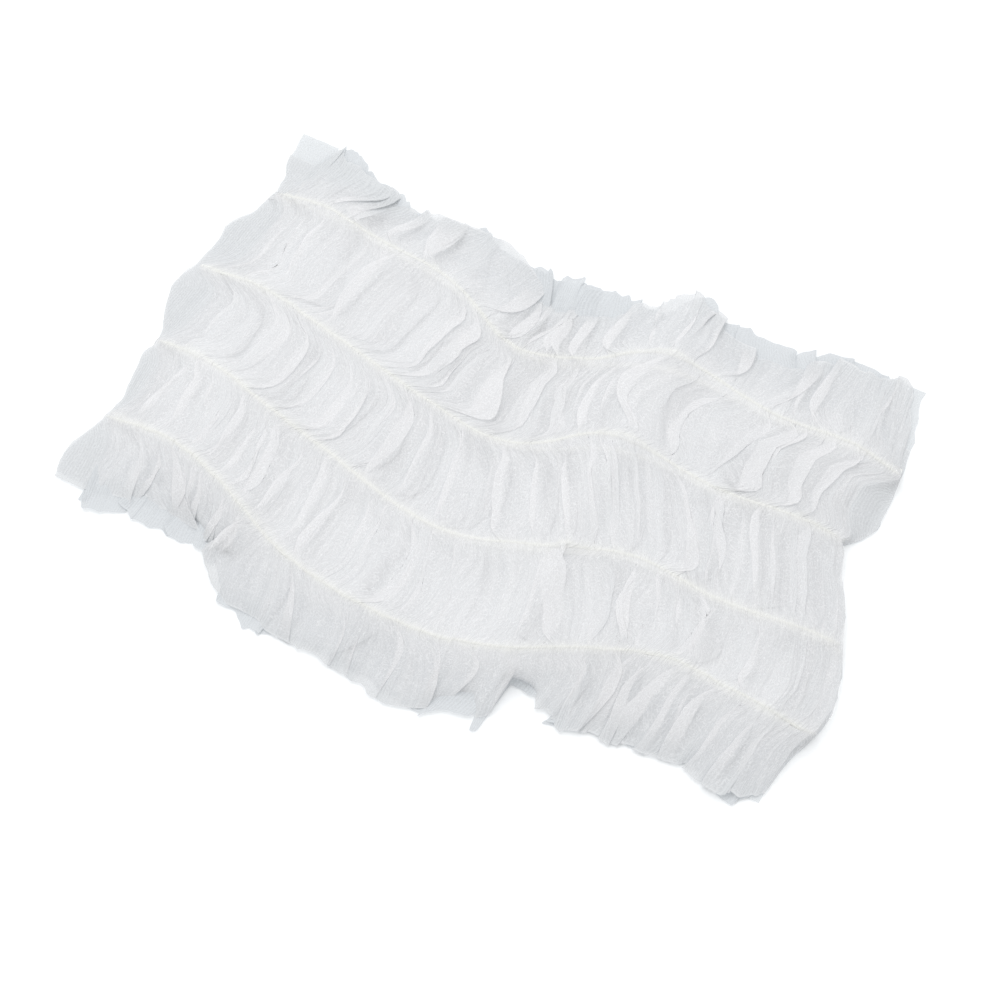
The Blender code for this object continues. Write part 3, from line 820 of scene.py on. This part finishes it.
# fibres: (waves a metre, width of a line, turn) for each of two webs; then the streaks and the crepe ribs
fibreLook = {"webs": ((800, 0.045, 0.3), (1500, 0.055, 1.7)), "webFlat": 0.55, "webDetail": 1.5, "webGain": 0.6,
             "webRelief": 0.5, "streaks": (420, 38, 1), "streakTurn": 0.06, "streakDetail": 1.0, "ribs": 330.0,
             "ribWander": 4.0, "ribWanderScale": 0.4}


def mappedNoise(tree, place, turnBy, shift, scale, detail):
    mapping = tree.nodes.new("ShaderNodeMapping")
    mapping.inputs["Rotation"].default_value = (0, 0, turnBy)
    mapping.inputs["Location"].default_value = shift
    mapping.inputs["Scale"].default_value = scale
    tree.links.new(place, mapping.inputs["Vector"])
    noise = tree.nodes.new("ShaderNodeTexNoise")
    noise.noise_dimensions = "2D"
    noise.inputs["Scale"].default_value = 1.0
    noise.inputs["Detail"].default_value = detail
    tree.links.new(mapping.outputs["Vector"], noise.inputs["Vector"])
    return noise.outputs[0]


def fibreGroup(look):
    # random fibres as the contour lines of noise at two sizes, long streaks of denser cloth, fine crepe ribs
    group, entry, leave = nodeGroup(
        "fibreWeb",
        [("Place", "NodeSocketVector", None), ("Ribs", "NodeSocketFloat", 1.0)],
        [("Web", "NodeSocketFloat"), ("Relief", "NodeSocketFloat"), ("Streak", "NodeSocketFloat"),
         ("Rib", "NodeSocketFloat")],
    )
    place = entry.outputs["Place"]
    total = None
    for scale, width, turnBy in look["webs"]:
        noise = mappedNoise(group, place, turnBy, (turnBy, 2 * turnBy, 0), (scale, scale * look["webFlat"], scale),
                            look["webDetail"])
        away = mathNode(group, "ABSOLUTE", mathNode(group, "SUBTRACT", noise, 0.5))
        line = mathNode(group, "SUBTRACT", 1.0, mathNode(group, "DIVIDE", away, width), clamp=True)
        total = line if total is None else mathNode(group, "ADD", total, line)
    web = mathNode(group, "MULTIPLY", total, look["webGain"], clamp=True)
    streak = mappedNoise(group, place, look["streakTurn"], (0, 0, 0), look["streaks"], look["streakDetail"])
    wave = group.nodes.new("ShaderNodeTexWave")
    wave.bands_direction = "X"
    wave.inputs["Scale"].default_value = look["ribs"]
    wave.inputs["Distortion"].default_value = look["ribWander"]
    wave.inputs["Detail"].default_value = 0.0
    wave.inputs["Detail Scale"].default_value = look["ribWanderScale"]
    group.links.new(place, wave.inputs["Vector"])
    ribs = mathNode(group, "MULTIPLY", wave.outputs["Fac"], entry.outputs["Ribs"])
    relief = mathNode(group, "ADD", mathNode(group, "MULTIPLY", web, look["webRelief"]), ribs)
    for output, label in ((web, "Web"), (relief, "Relief"), (streak, "Streak"), (ribs, "Rib")):
        group.links.new(output, leave.inputs[label])
    return group


fibreWeb = fibreGroup(fibreLook)

# sheer is the cover of plain cloth; the web, streaks, bends, single places and rows add to it, ribs take from it;
# single places also take a darker painted shade colour
clothFinish = {"colour": (0.816, 0.819, 0.830, 1), "paintedShadeColour": (0.645, 0.664, 0.680, 1),
               "rowColour": (0.83, 0.835, 0.815, 1), "sheer": 0.40, "web": 0.24, "streak": 0.09, "ribs": 0.13,
               "bendGain": 0.10, "thinShadeGain": 0.42, "rowGain": 0.17, "glow": 0.6, "roughness": 0.95,
               "sheen": 0.15, "specular": 0.2, "bump": 0.15, "bumpDepth": 0.15 * mm}


def clothMaterial(name, look):
    material = bpy.data.materials.new(name)
    material.use_nodes = True
    tree = material.node_tree
    shader = tree.nodes["Principled BSDF"]
    place = tree.nodes.new("ShaderNodeUVMap")
    place.uv_map = "flat"
    fibres = tree.nodes.new("ShaderNodeGroup")
    fibres.node_tree = fibreWeb
    tree.links.new(place.outputs["UV"], fibres.inputs["Place"])
    bend, thinShade, nearRow = (markValue(tree, mark) for mark in ("bend", "thinShade", "nearRow"))
    cover = mathNode(tree, "MULTIPLY", fibres.outputs["Web"], look["web"])
    streaky = mathNode(tree, "SUBTRACT", fibres.outputs["Streak"], 0.5)
    cover = mathNode(tree, "ADD", cover, mathNode(tree, "MULTIPLY", streaky, look["streak"] * 2))
    ribbed = mathNode(tree, "MULTIPLY", fibres.outputs["Rib"], thinShade)
    cover = mathNode(tree, "SUBTRACT", cover, mathNode(tree, "MULTIPLY", ribbed, look["ribs"]))
    added = mathNode(tree, "MULTIPLY", bend, look["bendGain"])
    for mark, gain in ((thinShade, look["thinShadeGain"]), (nearRow, look["rowGain"])):
        added = mathNode(tree, "ADD", added, mathNode(tree, "MULTIPLY", mark, gain))
    cover = mathNode(tree, "ADD", cover, mathNode(tree, "ADD", added, look["sheer"]), clamp=True)
    # the cloth scatters light forwards, so its shadows are paler than its cover
    rays = tree.nodes.new("ShaderNodeLightPath")
    held = mathNode(tree, "MULTIPLY", rays.outputs["Is Shadow Ray"], look["glow"])
    alpha = mathNode(tree, "MULTIPLY", cover, mathNode(tree, "SUBTRACT", 1.0, held))
    tree.links.new(alpha, shader.inputs["Alpha"])
    # single places are painted darker and bluer: painted shade of the dim space under the cloth
    tint = mixColour(tree, thinShade, look["colour"], look["paintedShadeColour"])
    tree.links.new(mixColour(tree, nearRow, tint, look["rowColour"]), shader.inputs["Base Color"])
    shader.inputs["Roughness"].default_value = look["roughness"]
    shader.inputs["Sheen Weight"].default_value = look["sheen"]
    shader.inputs["Specular IOR Level"].default_value = look["specular"]
    normal = bumpNormal(tree, fibres.outputs["Relief"], look["bump"], look["bumpDepth"])
    tree.links.new(normal, shader.inputs["Normal"])
    return material


strandFinish = {"dark": (0.745, 0.75, 0.725, 1), "pale": (0.80, 0.805, 0.78, 1), "grain": 900.0, "detail": 3.0,
                "roughness": 0.85, "bump": 0.4, "bumpDepth": 0.1 * mm}


def strandMaterial(look):
    material = bpy.data.materials.new("elastic")
    material.use_nodes = True
    tree = material.node_tree
    shader = tree.nodes["Principled BSDF"]
    place = tree.nodes.new("ShaderNodeTexCoord")
    noise = tree.nodes.new("ShaderNodeTexNoise")
    noise.inputs["Scale"].default_value = look["grain"]
    noise.inputs["Detail"].default_value = look["detail"]
    tree.links.new(place.outputs["Object"], noise.inputs["Vector"])
    tree.links.new(mixColour(tree, noise.outputs[0], look["dark"], look["pale"]), shader.inputs["Base Color"])
    shader.inputs["Roughness"].default_value = look["roughness"]
    tree.links.new(bumpNormal(tree, noise.outputs[0], look["bump"], look["bumpDepth"]), shader.inputs["Normal"])
    return material


cloth = clothMaterial("nonwoven", clothFinish)
# the lower sheet and the welded margins take darker painted shade colours of their own
underCloth = clothMaterial("nonwovenUnder", {**clothFinish, "sheer": 0.42, "paintedShadeColour": (0.635, 0.66, 0.682, 1)})
margin = clothMaterial("weldedMargin", {**clothFinish, "sheer": 0.40, "paintedShadeColour": (0.69, 0.712, 0.73, 1)})
elastic = strandMaterial(strandFinish)

for piece, node, finish, slot in (
    (frontSheet, "front_panel", cloth, "nonwoven"),
    (backSheet, "back_panel", underCloth, "nonwoven"),
    (leftMargin, "left_seam", margin, "welded_margin"),
    (rightMargin, "right_seam", margin, "welded_margin"),
):
    piece.data.materials.append(finish)
    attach(piece, "root")
    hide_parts(node)
for piece in strands:
    piece.data.materials.append(elastic)
    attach(piece, "root")
    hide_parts(piece.name.replace("strand", "elastic"))
print("gave each piece its finish and its place in the frame")


# Floor, light and camera

stageLook = {"floorSize": 6.0, "floorColour": (0.94, 0.955, 0.965, 1), "skyStrength": 0.69, "keyPower": 16.5,
             "keySize": 1.4, "keyPlace": (-0.4, 0.4, 1.55)}
bpy.ops.object.select_all(action="DESELECT")
bpy.ops.mesh.primitive_plane_add(size=stageLook["floorSize"])
floor = bpy.context.object
floor.name = "floor"
floorFinish = bpy.data.materials.new("paleFloor")
floorFinish.use_nodes = True
floorShader = floorFinish.node_tree.nodes["Principled BSDF"]
floorShader.inputs["Base Color"].default_value = stageLook["floorColour"]
floorShader.inputs["Roughness"].default_value = 1.0
floorShader.inputs["Specular IOR Level"].default_value = 0.0
floor.data.materials.append(floorFinish)

world = bpy.data.worlds.new("softSky")
world.use_nodes = True
world.node_tree.nodes["Background"].inputs["Color"].default_value = (1, 1, 1, 1)
world.node_tree.nodes["Background"].inputs["Strength"].default_value = stageLook["skyStrength"]
bpy.context.scene.world = world

bpy.ops.object.light_add(type="AREA", location=stageLook["keyPlace"])
key = bpy.context.object
key.name = "key"
key.data.shape = "DISK"
key.data.size = stageLook["keySize"]
key.data.energy = stageLook["keyPower"]
key.rotation_euler = (-Vector(stageLook["keyPlace"])).to_track_quat("-Z", "Y").to_euler()

cameraLook = {"azimuth": 26.4, "elevation": 64.0, "away": 0.60, "lens": 73.6, "aim": (0.00186, -0.00718, 0.0)}
azimuth, elevation = math.radians(cameraLook["azimuth"]), math.radians(cameraLook["elevation"])
back = Vector((math.sin(azimuth) * math.cos(elevation), -math.cos(azimuth) * math.cos(elevation),
               math.sin(elevation)))
bpy.ops.object.camera_add(location=Vector(cameraLook["aim"]) + back * cameraLook["away"])
camera = bpy.context.object
camera.data.lens = cameraLook["lens"]
camera.rotation_euler = (-back).to_track_quat("-Z", "Y").to_euler()
bpy.context.scene.camera = camera
bpy.context.scene.view_settings.view_transform = "Standard"
bpy.context.scene.cycles.transparent_max_bounces = 12
print("set the floor, the light and the camera")
